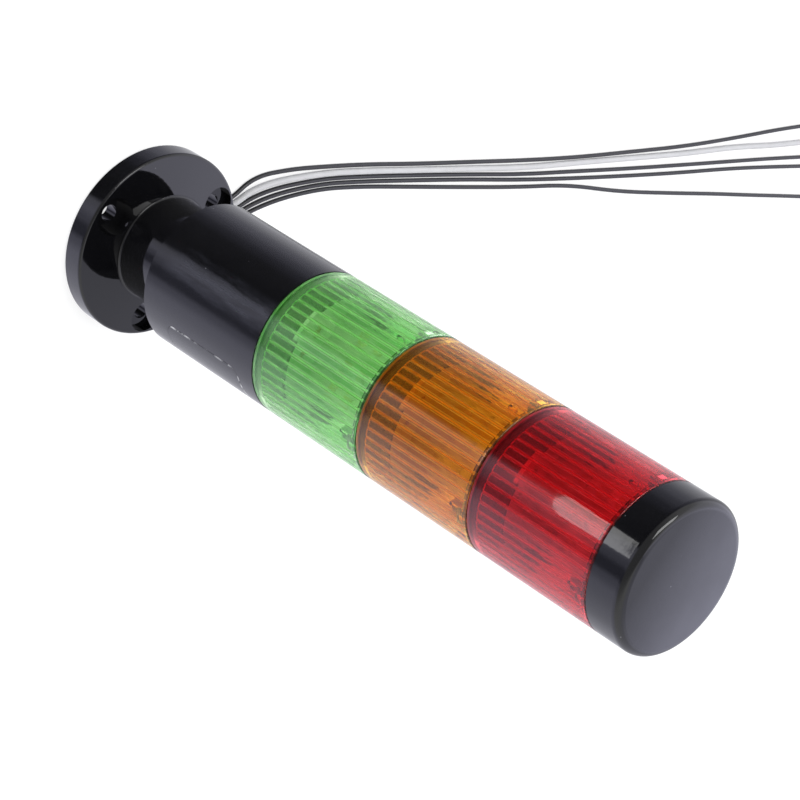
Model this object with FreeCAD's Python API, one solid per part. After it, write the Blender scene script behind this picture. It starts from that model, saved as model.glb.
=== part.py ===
import FreeCAD, Part
import math
import os

# Three-light signal tower with a flanged foot, a twist-lock coupling at each joint and five loose leads.
# The tower stands on its flange: +Z runs up the tower, the origin is the centre of the mounting face.

V = FreeCAD.Vector
ORIGIN = V(0, 0, 0)
UP = V(0, 0, 1)

# ---------------------------------------------------------------- driving dimensions, in mm and degrees
TOWER_R = 25.0            # outside radius shared by the housing, the lenses and the cap
MODULE_PITCH = 49.0       # height of one light module
HOUSING_LOW = 32.5        # lower end of the base housing
HOUSING_HIGH = 88.0       # seam between the base housing and the first module
CAP_HEIGHT = 13.0
SEAM_GAP = 0.3            # gap between two parts that turn on each other
FIT_GAP = 0.1             # clearance between parts fixed to each other
CUT_OVER = 1.0            # how far a cut reaches past what it cuts
RUN_GAP = 0.3             # clearance between parts that turn on each other

# flange and neck
FLANGE_R = 32.5
RIM_HEIGHT = 8.0          # height of the rim's outer edge
RIM_WALL = 2.8
RIM_ROUND = 1.0
HUB_RING_Z = 10.3         # where the sloping face of the flange meets the neck
HUB_RING_WIDTH = 0.9
NECK_ROUND = 0.8
NECK_R = 18.0
STUB_R = 14.0             # threaded stub that passes through the housing floor
STUB_LENGTH = 11.5
BORE_R = 11.0
FLARE_R = 17.0            # mouth of the bore in the underside
FLARE_Z = 15.0
RECESS_Z = 5.2            # ceiling of the hollow underside
SCREW_PCD = 50.0
SCREW_HOLE_R = 2.9
SCREW_COUNT = 3
SCREW_START = -90.0
POCKET_R = 6.5            # round pocket for each screw's head, which the neck's ring cuts into
POCKET_Z = 5.5            # floor of the pocket
BOSS_WALL = 1.2           # the boss under a pocket is this much wider all round
RIB_THICK = 1.8
RIB_FOOT_GAP = 0.6        # ribs and bosses end this far above the mounting face
RIB_START_GAP = 0.5       # ribs begin this far outside the mouth of the bore
NOTCH_ANGLE = 128.5       # heading of the cable notch in the rim
NOTCH_HALF_WIDTH = 5.4
NOTCH_HEIGHT = 4.2

# base housing
HOUSING_WALL = 2.4
FLOOR_THICK = 3.0
EDGE_CHAMFER = 0.5
GASKET_THICK = 1.5
GASKET_WIDTH = 3.5
NUT_THICK = 5.0
NUT_WIDTH = 5.6           # from the stub to the nut's corners
BOARD_DROP = 18.0         # from the seam down to the underside of the terminal board
BOARD_THICK = 1.6
BOARD_EDGE_GAP = 2.2
SEAT_WIDTH = 5.0          # ring inside the housing that the board rests on
SEAT_THICK = 2.5
BOARD_SCREW_R = 0.9
BOARD_SCREW_HEAD_R = 1.7
BOARD_SCREW_HEAD = 1.2
BOARD_SCREW_REACH = 2.0
BOARD_SCREW_COUNT = 3
BOARD_SCREW_ANGLE = 60.0
SCREW_SLOT = 0.5
COVER_RISE = 11.5         # from the housing's lower end up to the access cover
COVER_DROP = 7.5          # from the seam down to the access cover
COVER_HALF_ANGLE = 38.5   # the access cover spans this much each side of +X
COVER_THICK = 1.2
COVER_GAP = 0.12
COVER_CORNER = 4.0
COVER_LEDGE = 2.0         # width of the ledge that carries the cover
GROMMET_DEPTH = 6.0
GROMMET_LIP_INSET = 1.0
GROMMET_LIP = 1.5
GROMMET_HOLE_R = 6.4
CONNECTOR_LENGTH = 13.0
CONNECTOR_WIDTH = 6.0
CONNECTOR_HEIGHT = 8.0
LATCH_THICK = 1.2
LATCH_LOW = 2.0           # the latch starts this far above the plug's lower end
LATCH_TOP_GAP = 1.0
POST_GROOVE = 2.2         # width of the grooves in the base contact post

# lens
LENS_WALL = 2.4           # as thick as the housing, so that every coupling has one bore
FLUTE_COUNT = 48
FLUTE_DEPTH = 0.6         # the fluted part of the wall is this much thinner than the plain ends
RIDGE_R = 0.5             # half-round ridges between the flutes
FLUTE_LOW = 3.4           # plain band below the flutes
FLUTE_HIGH = 2.4          # plain band above the flutes, where the seal sits
LENS_EDGE = 0.4

# twist-lock coupling, depths measured down from a seam
COUPLING_COUNT = 3
LUG_ANGLE = -38.0         # first lug, locked
TWIST = 20.0              # turn from locked to free
LUG_HALF_ANGLE = 4.2
LUG_THICK = 2.7
LEDGE_THICK = 2.2
LEDGE_DEPTH = 1.8
LEDGE_CLEARANCE = 0.6     # between the spigot's skirt and the ledges under it
LEDGE_OVERRUN = 3.0       # how far a ledge runs past its lug, in degrees
STOP_ANGLE = 2.2
STOP_MARGIN = 0.9
SPIGOT_DEPTH = 2.2
SPIGOT_WALL = 1.8
SEAL_R = 0.8              # half the section of the seal ring
SEAL_SIDES = 8
SEAL_DROP = 0.1           # the ring sits this much below the middle of the spigot's skirt

# black foot of a module, heights measured up from its lower seam
FOOT_LOW = 0.6
FOOT_FLOOR = 2.5
FOOT_HIGH = 12.8
FOOT_WALL = 1.6
BASE_BOARD_THICK = 1.6    # round board on the foot's floor, which carries the upright lamp board
LAMP_BOARD_WIDTH = 30.0
LAMP_BOARD_THICK = 1.6
LAMP_BOARD_DROP = 8.0     # from the upper seam down to the board's top edge
LAMP_BOARD_SHOULDER = 1.0 # how far the board's notched top is narrower than the contact head, each side

# contacts
HEAD_R = 10.0
HEAD_SEAT = 1.6           # how far the contact head reaches down over the board's top edge
HEAD_THICK = 4.0
PAD_THICK = 0.4
PAD_WIDTH = 2.2
CONTACT_COUNT = 5
CONTACT_CIRCLE_R = 7.4
CONTACT_START = 18.0
PAD_OVERRUN = 4.0         # how far a pad runs past its pin, in degrees
PIN_R = 0.7
PIN_COLLAR_R = 1.3
PIN_COLLAR = 0.8
PIN_TIP = 0.4

# lamps
LAMP_WIDTH = 3.5
LAMP_HEIGHT = 2.8
LAMP_DEPTH = 1.9
LAMP_COLUMNS = (-9.0, 0.0, 9.0)
LAMP_ROWS = (18.0, 25.5, 33.0)
LAMP_EDGE = 0.3

# cap
CAP_WALL = 2.4
CAP_TOP_THICK = 2.2
CAP_ROUND = 2.8
CAP_WEB = 2.0

# leads
BLACK_LEAD_R = 0.8
GREY_LEAD_R = 1.2
BEND_SHARE = 0.45         # share of the shorter run beside a corner that its bend takes up

# ---------------------------------------------------------------- values that follow from the above
BORE_WALL_R = TOWER_R - LENS_WALL            # inside of lens and housing
HOUSING_BORE_R = TOWER_R - HOUSING_WALL
SPIGOT_R = BORE_WALL_R - RUN_GAP - 2 * SEAL_R
LEDGE_R = BORE_WALL_R - LEDGE_DEPTH
TONGUE_R = LEDGE_R - RUN_GAP
LUG_R = BORE_WALL_R - RUN_GAP
FOOT_R = BORE_WALL_R - FIT_GAP
FLUTED_R = BORE_WALL_R + FLUTE_DEPTH         # inside of the fluted part of a lens
ANCHOR_R = TOWER_R - LENS_WALL / 3           # how far ledges and stops reach into the wall
BASE_BOARD_R = FOOT_R - FOOT_WALL - 2 * FIT_GAP
LEDGE_TOP = SPIGOT_DEPTH + LEDGE_CLEARANCE
LEDGE_LOW = LEDGE_TOP + LEDGE_THICK
LUG_TOP = LEDGE_LOW + RUN_GAP
LUG_LOW = LUG_TOP + LUG_THICK
HOUSING_FLOOR_TOP = HOUSING_LOW + FLOOR_THICK
NUT_CORNER_R = STUB_R + NUT_WIDTH
GASKET_R = STUB_R + GASKET_WIDTH
BOARD_Z = HOUSING_HIGH - BOARD_DROP
BOARD_R = HOUSING_BORE_R - BOARD_EDGE_GAP
SEAT_INNER_R = HOUSING_BORE_R - SEAT_WIDTH
BOARD_SCREW_CIRCLE_R = (SEAT_INNER_R + BOARD_R) / 2
COVER_LOW = HOUSING_LOW + COVER_RISE
COVER_HIGH = HOUSING_HIGH - COVER_DROP
NUT_LOW = HOUSING_FLOOR_TOP + GASKET_THICK
STUB_TOP = HOUSING_LOW + STUB_LENGTH
GROMMET_LOW = STUB_TOP - GROMMET_DEPTH
GROMMET_LIP_R = STUB_R - GROMMET_LIP_INSET
LAMP_BOARD_TOP = MODULE_PITCH - LAMP_BOARD_DROP
HEAD_LOW = LAMP_BOARD_TOP - HEAD_SEAT
HEAD_HIGH = HEAD_LOW + HEAD_THICK
SCREW_CIRCLE_R = SCREW_PCD / 2
HUB_RING_R = NECK_R + HUB_RING_WIDTH
SCREW_SPACING = 360.0 / SCREW_COUNT
SEAT_LOW = BOARD_Z - SEAT_THICK
SEAT_SLOPE_LOW = SEAT_LOW - (HOUSING_BORE_R - SEAT_INNER_R)
SEAM_Z = [HOUSING_HIGH + MODULE_PITCH * k for k in range(4)]
THIRD = 360.0 / COUPLING_COUNT


# ---------------------------------------------------------------- helpers
def turned(outline):
    """Solid of revolution about the tower axis from a closed (r, z) outline."""
    points = [V(r, 0, z) for r, z in outline]
    face = Part.Face(Part.makePolygon(points + [points[0]]))
    return face.revolve(ORIGIN, UP, 360)


def disc(radius, low, high):
    return Part.makeCylinder(radius, high - low, V(0, 0, low), UP)


def pipe(outer, inner, low, high):
    return disc(outer, low, high).cut(disc(inner, low, high))


def sector(inner, outer, low, high, start, sweep):
    """Piece of a ring, from the angle start over sweep degrees."""
    points = [V(inner, 0, low), V(outer, 0, low), V(outer, 0, high), V(inner, 0, high)]
    face = Part.Face(Part.makePolygon(points + [points[0]]))
    piece = face.revolve(ORIGIN, UP, sweep)
    piece.rotate(ORIGIN, UP, start)
    return piece


def block(x_size, y_size, low, high, x_mid=0.0, y_mid=0.0):
    """Upright box centred on a point in plan."""
    corner = V(x_mid - x_size / 2, y_mid - y_size / 2, low)
    return Part.makeBox(x_size, y_size, high - low, corner)


def spun(shape, angle):
    copy = shape.copy()
    copy.rotate(ORIGIN, UP, angle)
    return copy


def around(shape, count, start=0.0):
    """Copies of a shape spread evenly about the tower axis."""
    return [spun(shape, start + 360.0 * k / count) for k in range(count)]


def peg(radius, low, high, circle_r, angle=0.0):
    """Upright cylinder standing on a circle about the tower axis."""
    return spun(Part.makeCylinder(radius, high - low, V(circle_r, 0, low), UP), angle)


def circle_edges(shape, radius, height):
    """The full circles of that radius at that height, for fillets and chamfers."""
    found = []
    for edge in shape.Edges:
        curve = edge.Curve
        if isinstance(curve, Part.Circle) and abs(curve.Radius - radius) < 1e-4:
            if abs(curve.Center.z - height) < 1e-4 and abs(curve.Center.x) < 1e-4:
                found.append(edge)
    return found


def lifted(shape, height):
    copy = shape.copy()
    copy.translate(V(0, 0, height))
    return copy


def export(name, shape):
    kinds = sorted({solid.isValid() for solid in shape.Solids})
    print(f"{name:22s} solids {len(shape.Solids):3d}  volume {shape.Volume:10.1f}  valid {kinds}")
    shape.exportStep(os.path.join("parts", name + ".step"))


def group(solids):
    return Part.makeCompound(solids)


# ---------------------------------------------------------------- twist-lock coupling
def socket_parts():
    """Three ledges, with a stop at each end of the turn, to fuse inside a wall below a seam at zero."""
    parts = []
    for k in range(COUPLING_COUNT):
        locked = LUG_ANGLE + THIRD * k
        shut_stop = locked - LUG_HALF_ANGLE - STOP_MARGIN - STOP_ANGLE
        open_stop = locked + TWIST + LUG_HALF_ANGLE + STOP_MARGIN
        ledge_sweep = locked + LUG_HALF_ANGLE + LEDGE_OVERRUN - shut_stop
        parts.append(sector(LEDGE_R, ANCHOR_R, -LEDGE_LOW, -LEDGE_TOP, shut_stop, ledge_sweep))
        for start in (shut_stop, open_stop):
            parts.append(sector(LEDGE_R, ANCHOR_R, -LUG_LOW, -LEDGE_LOW + FIT_GAP / 2, start, STOP_ANGLE))
    return parts


def spigot():
    """Ring with three tongues and lugs that hangs below a seam at zero."""
    inner = SPIGOT_R - SPIGOT_WALL
    shape = pipe(SPIGOT_R, inner, -SPIGOT_DEPTH, FOOT_LOW)
    for k in range(COUPLING_COUNT):
        start = LUG_ANGLE + THIRD * k - LUG_HALF_ANGLE
        tongue = sector(inner, TONGUE_R, -LUG_LOW, -SPIGOT_DEPTH, start, 2 * LUG_HALF_ANGLE)
        lug = sector(inner, LUG_R, -LUG_LOW, -LUG_TOP, start, 2 * LUG_HALF_ANGLE)
        shape = shape.fuse([tongue, lug])
    return shape


def seal_ring():
    """Seal round a spigot below a seam at zero, eight-sided in section."""
    corner = SEAL_R / math.cos(math.pi / SEAL_SIDES)
    middle = -SPIGOT_DEPTH / 2 - SEAL_DROP
    outline = []
    for k in range(SEAL_SIDES):
        angle = math.pi * (2 * k + 1) / SEAL_SIDES
        outline.append((SPIGOT_R + SEAL_R + corner * math.cos(angle), middle + corner * math.sin(angle)))
    return turned(outline)


# ---------------------------------------------------------------- flange
def mounting_flange():
    outline = [
        (BORE_R, FLARE_Z), (FLARE_R, RECESS_Z), (FLANGE_R - RIM_WALL, RECESS_Z),
        (FLANGE_R - RIM_WALL, 0), (FLANGE_R, 0), (FLANGE_R, RIM_HEIGHT),
        (HUB_RING_R, HUB_RING_Z), (NECK_R, HUB_RING_Z), (NECK_R, HOUSING_LOW),
        (STUB_R, HOUSING_LOW), (STUB_R, STUB_TOP), (BORE_R, STUB_TOP),
    ]
    shape = turned(outline)
    shape = shape.makeFillet(RIM_ROUND, circle_edges(shape, FLANGE_R, RIM_HEIGHT))
    shape = shape.makeFillet(NECK_ROUND, circle_edges(shape, NECK_R, HUB_RING_Z))
    shape = shape.makeChamfer(EDGE_CHAMFER, circle_edges(shape, FLANGE_R, 0))
    inside = RECESS_Z + RIB_THICK / 2
    rib_from = FLARE_R + RIB_START_GAP
    rib_to = FLANGE_R - RIM_WALL / 2
    boss = peg(POCKET_R + BOSS_WALL, RIB_FOOT_GAP, inside, SCREW_CIRCLE_R).common(disc(rib_to, 0, inside))
    bosses = around(boss, SCREW_COUNT, SCREW_START)
    rib = block(rib_to - rib_from, RIB_THICK, RIB_FOOT_GAP, inside, (rib_to + rib_from) / 2)
    ribs = around(rib, SCREW_COUNT, SCREW_START + SCREW_SPACING / 2)
    shape = shape.fuse(bosses + ribs)
    notch_from = FLARE_R
    notch_to = FLANGE_R + CUT_OVER
    notch = block(notch_to - notch_from, 2 * NOTCH_HALF_WIDTH, -CUT_OVER, NOTCH_HEIGHT,
                  (notch_to + notch_from) / 2)
    hole = peg(SCREW_HOLE_R, -CUT_OVER, HUB_RING_Z, SCREW_CIRCLE_R)
    pocket = peg(POCKET_R, POCKET_Z, HUB_RING_Z + CUT_OVER, SCREW_CIRCLE_R)
    pocket = pocket.cut(disc(HUB_RING_R, 0, HUB_RING_Z + 2 * CUT_OVER))
    shape = shape.cut(around(hole.fuse(pocket), SCREW_COUNT, SCREW_START) + [spun(notch, NOTCH_ANGLE)])
    return shape.removeSplitter()


# ---------------------------------------------------------------- base housing and what it holds
def cover_window(inner, outer, shrink):
    """Curved panel with rounded corners between two radii, smaller all round by shrink."""
    low = COVER_LOW + shrink
    high = COVER_HIGH - shrink
    half = COVER_HALF_ANGLE - math.degrees(shrink / TOWER_R)
    half_width = TOWER_R * math.sin(math.radians(half))
    panel = pipe(outer, inner, low, high)
    window = Part.makeBox(2 * TOWER_R, 2 * half_width, high - low, V(0, -half_width, low))
    upright = [e for e in window.Edges if abs(e.tangentAt(e.FirstParameter).x) > 0.9]
    window = window.makeFillet(COVER_CORNER - shrink, upright)
    return panel.common(window)


def base_housing():
    top = HOUSING_HIGH - SEAM_GAP / 2
    outline = [
        (STUB_R + FIT_GAP, HOUSING_LOW), (TOWER_R, HOUSING_LOW), (TOWER_R, top), (HOUSING_BORE_R, top),
        (HOUSING_BORE_R, BOARD_Z), (SEAT_INNER_R, BOARD_Z), (SEAT_INNER_R, SEAT_LOW),
        (HOUSING_BORE_R, SEAT_SLOPE_LOW),
        (HOUSING_BORE_R, HOUSING_FLOOR_TOP), (STUB_R + FIT_GAP, HOUSING_FLOOR_TOP),
    ]
    shape = turned(outline)
    shape = shape.makeChamfer(EDGE_CHAMFER, circle_edges(shape, TOWER_R, HOUSING_LOW))
    shape = shape.fuse([lifted(part, HOUSING_HIGH) for part in socket_parts()])
    rebate = cover_window(TOWER_R - COVER_THICK, TOWER_R + CUT_OVER, 0)
    opening = cover_window(HOUSING_BORE_R - CUT_OVER, TOWER_R, COVER_LEDGE)
    opening = opening.cut(disc(HOUSING_BORE_R, SEAT_SLOPE_LOW, BOARD_Z))
    screw_hole = peg(BOARD_SCREW_R + FIT_GAP / 2, BOARD_Z - BOARD_SCREW_REACH, BOARD_Z + CUT_OVER,
                     BOARD_SCREW_CIRCLE_R)
    shape = shape.cut([rebate, opening] + around(screw_hole, BOARD_SCREW_COUNT, BOARD_SCREW_ANGLE))
    return shape.removeSplitter()


def service_cover():
    """Curved access panel that sits flush in the housing wall, with a locating rim on its back."""
    skin = cover_window(TOWER_R - COVER_THICK, TOWER_R, COVER_GAP)
    rim = cover_window(HOUSING_BORE_R + FIT_GAP, TOWER_R - COVER_THICK, COVER_LEDGE + COVER_GAP)
    return skin.fuse(rim).removeSplitter()


def neck_gasket():
    return pipe(GASKET_R, STUB_R + FIT_GAP, HOUSING_FLOOR_TOP, NUT_LOW)


def lock_nut():
    corner = V(NUT_CORNER_R, 0, NUT_LOW)
    corners = [FreeCAD.Rotation(UP, 60 * k).multVec(corner) for k in range(7)]
    nut = Part.Face(Part.makePolygon(corners)).extrude(V(0, 0, NUT_THICK))
    nut_top = NUT_LOW + NUT_THICK
    chamfered = disc(NUT_CORNER_R, NUT_LOW, nut_top)
    chamfered = chamfered.makeChamfer(EDGE_CHAMFER * 2, circle_edges(chamfered, NUT_CORNER_R, nut_top))
    return nut.common(chamfered).cut(disc(STUB_R + FIT_GAP, NUT_LOW, nut_top))


def lead_grommet():
    """Rubber bush in the top of the bore, with a lip on the stub's end face."""
    outline = [
        (GROMMET_HOLE_R, GROMMET_LOW), (BORE_R - FIT_GAP, GROMMET_LOW), (BORE_R - FIT_GAP, STUB_TOP),
        (GROMMET_LIP_R, STUB_TOP), (GROMMET_LIP_R, STUB_TOP + GROMMET_LIP),
        (GROMMET_HOLE_R, STUB_TOP + GROMMET_LIP),
    ]
    shape = turned(outline)
    return shape.makeFillet(EDGE_CHAMFER, circle_edges(shape, GROMMET_LIP_R, STUB_TOP + GROMMET_LIP))


def terminal_board():
    shape = disc(BOARD_R, BOARD_Z, BOARD_Z + BOARD_THICK)
    hole = peg(BOARD_SCREW_R + FIT_GAP, BOARD_Z - CUT_OVER, BOARD_Z + BOARD_THICK + CUT_OVER,
               BOARD_SCREW_CIRCLE_R)
    return shape.cut(around(hole, BOARD_SCREW_COUNT, BOARD_SCREW_ANGLE))


def board_screws():
    """Three screws that hold the terminal board on its seat."""
    top = BOARD_Z + BOARD_THICK
    shank = peg(BOARD_SCREW_R, BOARD_Z - BOARD_SCREW_REACH + FIT_GAP, top, BOARD_SCREW_CIRCLE_R)
    head = peg(BOARD_SCREW_HEAD_R, top, top + BOARD_SCREW_HEAD, BOARD_SCREW_CIRCLE_R)
    slot = block(2 * (BOARD_SCREW_HEAD_R + CUT_OVER), SCREW_SLOT, top + BOARD_SCREW_HEAD / 2,
                 top + BOARD_SCREW_HEAD + CUT_OVER, BOARD_SCREW_CIRCLE_R)
    return group(around(shank.fuse(head).cut(slot), BOARD_SCREW_COUNT, BOARD_SCREW_ANGLE))


def lead_connector():
    """Plug under the terminal board that takes the five leads."""
    low = BOARD_Z - CONNECTOR_HEIGHT
    shape = block(CONNECTOR_WIDTH, CONNECTOR_LENGTH, low, BOARD_Z)
    latch = block(LATCH_THICK, CONNECTOR_LENGTH / 2, low + LATCH_LOW, BOARD_Z - LATCH_TOP_GAP,
                  -(CONNECTOR_WIDTH + LATCH_THICK) / 2)
    return spun(shape.fuse(latch), NOTCH_ANGLE)


# ---------------------------------------------------------------- contacts between modules
def contact_angles():
    return [CONTACT_START + 360.0 * k / CONTACT_COUNT for k in range(CONTACT_COUNT)]


def contact_pads(seam):
    """Arc pads long enough for a pin to wipe along while the module above turns."""
    low = seam - MODULE_PITCH + HEAD_HIGH
    inner = CONTACT_CIRCLE_R - PAD_WIDTH / 2
    outer = CONTACT_CIRCLE_R + PAD_WIDTH / 2
    sweep = TWIST + 2 * PAD_OVERRUN
    return group([sector(inner, outer, low, low + PAD_THICK, angle - PAD_OVERRUN, sweep)
                  for angle in contact_angles()])


def contact_pins(seam):
    """Sprung pins in a module's foot that reach down to the pads below."""
    floor_top = seam + FOOT_LOW + FOOT_FLOOR
    tip = seam - MODULE_PITCH + HEAD_HIGH + PAD_THICK + SEAM_GAP
    shank = peg(PIN_R, tip, floor_top, CONTACT_CIRCLE_R)
    shank = shank.makeChamfer(PIN_TIP, [e for e in shank.Edges if abs(e.BoundBox.ZMax - tip) < 1e-6])
    collar = peg(PIN_COLLAR_R, floor_top, floor_top + PIN_COLLAR, CONTACT_CIRCLE_R)
    pin = shank.fuse(collar)
    return group([spun(pin, angle) for angle in contact_angles()])


def base_contact_head():
    """Black post on the terminal board that carries the first set of pads."""
    low = BOARD_Z + BOARD_THICK
    high = HOUSING_HIGH - MODULE_PITCH + HEAD_HIGH
    shape = disc(HEAD_R, low, high)
    shape = shape.makeChamfer(EDGE_CHAMFER, circle_edges(shape, HEAD_R, high))
    groove = block(POST_GROOVE, POST_GROOVE, low + POST_GROOVE, high - POST_GROOVE, HEAD_R)
    return shape.cut(around(groove, CONTACT_COUNT, CONTACT_START + 180.0 / CONTACT_COUNT))


# ---------------------------------------------------------------- one light module
def fluted_lens():
    """Clear tube, smooth outside and fluted inside, with the twist-lock socket in its upper end."""
    low = SEAM_GAP / 2
    high = MODULE_PITCH - SEAM_GAP / 2
    flute_top = MODULE_PITCH - FLUTE_HIGH
    shape = pipe(TOWER_R, BORE_WALL_R, low, high)
    outer_edges = circle_edges(shape, TOWER_R, low) + circle_edges(shape, TOWER_R, high)
    shape = shape.makeChamfer(LENS_EDGE, outer_edges)
    shape = shape.cut(disc(FLUTED_R, FLUTE_LOW, flute_top))
    ridge = peg(RIDGE_R, FLUTE_LOW, flute_top, FLUTED_R)
    sockets = [lifted(part, MODULE_PITCH) for part in socket_parts()]
    return shape.fuse(around(ridge, FLUTE_COUNT) + sockets)


def module_foot():
    """Black cup in the lower end of a lens, with the spigot and lugs below its floor."""
    floor_top = FOOT_LOW + FOOT_FLOOR
    cup = disc(FOOT_R, FOOT_LOW, FOOT_HIGH).cut(disc(FOOT_R - FOOT_WALL, floor_top, FOOT_HIGH))
    cup = cup.makeChamfer(EDGE_CHAMFER, circle_edges(cup, FOOT_R - FOOT_WALL, FOOT_HIGH))
    pin_hole = peg(PIN_R + FIT_GAP / 2, FOOT_LOW - CUT_OVER, floor_top + CUT_OVER, CONTACT_CIRCLE_R)
    return cup.fuse(spigot()).cut([spun(pin_hole, angle) for angle in contact_angles()]).removeSplitter()


def lamp_board():
    """Round board on the floor of the foot and, soldered upright across it, the board with the lamps."""
    low = FOOT_LOW + FOOT_FLOOR
    shape = block(LAMP_BOARD_WIDTH, LAMP_BOARD_THICK, low, LAMP_BOARD_TOP)
    shoulder = LAMP_BOARD_WIDTH / 2 - HEAD_R + LAMP_BOARD_SHOULDER
    side = (LAMP_BOARD_WIDTH - shoulder) / 2
    notch_low = HEAD_LOW - LAMP_BOARD_SHOULDER
    notches = [block(shoulder, 2 * LAMP_BOARD_THICK, notch_low, LAMP_BOARD_TOP + CUT_OVER, x)
               for x in (-side, side)]
    base_top = low + BASE_BOARD_THICK
    pin_hole = peg(PIN_COLLAR_R + FIT_GAP, low - CUT_OVER, base_top + CUT_OVER, CONTACT_CIRCLE_R)
    base = disc(BASE_BOARD_R, low, base_top)
    base = base.cut([spun(pin_hole, angle) for angle in contact_angles()])
    return shape.cut(notches).fuse(base).removeSplitter()


def lamps():
    """Rows of lamps on both faces of the upright board."""
    lamp = block(LAMP_WIDTH, LAMP_DEPTH, -LAMP_HEIGHT / 2, LAMP_HEIGHT / 2)
    face_edges = [e for e in lamp.Edges if abs(e.CenterOfMass.y + LAMP_DEPTH / 2) < 1e-6]
    lamp = lamp.makeChamfer(LAMP_EDGE, face_edges)
    solids = []
    for angle in (0, 180):
        for x in LAMP_COLUMNS:
            for z in LAMP_ROWS:
                one = lamp.copy()
                one.translate(V(x, -LAMP_BOARD_THICK / 2 - LAMP_DEPTH / 2, z))
                solids.append(spun(one, angle))
    return group(solids)


def contact_head():
    """Disc on the board's top edge that carries the pads for the module above."""
    shape = disc(HEAD_R, HEAD_LOW, HEAD_HIGH)
    shape = shape.makeChamfer(EDGE_CHAMFER, circle_edges(shape, HEAD_R, HEAD_HIGH))
    slot_width = LAMP_BOARD_THICK + 2 * FIT_GAP
    slot = block(2 * (HEAD_R + CUT_OVER), slot_width, HEAD_LOW - CUT_OVER, LAMP_BOARD_TOP)
    return shape.cut(slot)


def top_cap():
    """Closing cap with a rounded rim, hollow below, on the same spigot as a module."""
    low = SEAM_GAP / 2
    inner = TOWER_R - CAP_WALL
    outline = [
        (TOWER_R, low), (TOWER_R, CAP_HEIGHT), (0, CAP_HEIGHT), (0, CAP_HEIGHT - CAP_TOP_THICK),
        (inner, CAP_HEIGHT - CAP_TOP_THICK), (inner, FOOT_LOW + CAP_WEB),
        (SPIGOT_R - SPIGOT_WALL, FOOT_LOW + CAP_WEB), (SPIGOT_R - SPIGOT_WALL, FOOT_LOW),
        (inner, FOOT_LOW), (inner, low),
    ]
    shape = turned(outline)
    shape = shape.makeFillet(CAP_ROUND, circle_edges(shape, TOWER_R, CAP_HEIGHT))
    return shape.fuse(spigot()).removeSplitter()


# ---------------------------------------------------------------- leads
# Each lead runs down the neck side by side with the others, out through the notch and then loosely
# over the surface that the flange stands on. Points are x and y in mm, chosen one by one.
LEAD_OFFSETS = {"lead_a": 4.3, "lead_grey": 2.0, "lead_b": -0.3, "lead_c": -2.25, "lead_d": -4.2}
NECK_COURSE = [(0.0, BOARD_Z - CONNECTOR_HEIGHT), (0.0, 51.0), (-0.8, 39.0), (0.5, 26.0), (3.6, 13.0)]
ELBOW = [(11.5, 3.6), (22.5, None), (35.0, None)]
FLOOR_COURSE = {
    "lead_a": [(-37.2, 28.6), (-46.6, 42.2), (-53.6, 54.7), (-63.8, 74.0), (-75.1, 97.3), (-88.2, 123.1),
               (-101.5, 149.5), (-115.2, 175.3), (-130.5, 202.0), (-146.5, 230.0), (-164.0, 257.5),
               (-181.0, 283.0), (-193.0, 303.0)],
    "lead_grey": [(-36.0, 32.6), (-51.7, 55.9), (-61.8, 75.1), (-73.1, 98.2), (-86.0, 124.1), (-99.0, 150.5),
                  (-113.0, 175.5), (-128.5, 203.5), (-144.5, 232.5), (-160.2, 258.6), (-174.0, 285.5),
                  (-188.0, 309.0)],
    "lead_b": [(-34.7, 35.9), (-49.7, 57.2), (-59.7, 76.1), (-71.1, 99.2), (-83.7, 125.1), (-96.3, 151.8),
               (-109.5, 177.0), (-124.0, 205.0), (-140.0, 235.0), (-154.0, 261.0), (-168.5, 288.0),
               (-183.0, 316.0)],
    "lead_c": [(-33.6, 38.6), (-48.1, 58.2), (-58.0, 77.0), (-69.3, 100.0), (-81.9, 126.0), (-94.2, 152.6),
               (-106.9, 178.2), (-121.3, 206.5), (-137.0, 236.5), (-151.2, 262.5), (-165.0, 289.5),
               (-180.0, 320.0)],
    "lead_d": [(-32.6, 41.2), (-46.5, 59.3), (-56.3, 77.9), (-67.0, 101.1), (-79.1, 127.3), (-91.5, 153.8),
               (-104.5, 179.4), (-115.0, 208.5), (-128.0, 238.0), (-139.8, 264.0), (-150.5, 288.5),
               (-161.0, 312.0), (-171.0, 335.0)],
}


def lead_points(name, radius):
    """The lead's route: down the neck and through the notch in one upright plane, then over the floor."""
    heading = V(math.cos(math.radians(NOTCH_ANGLE)), math.sin(math.radians(NOTCH_ANGLE)), 0)
    side = V(-heading.y, heading.x, 0)
    points = []
    for along, height in NECK_COURSE + ELBOW:
        place = heading * along + side * LEAD_OFFSETS[name]
        points.append(V(place.x, place.y, radius if height is None else height))
    return points + [V(x, y, radius) for x, y in FLOOR_COURSE[name]]


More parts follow.
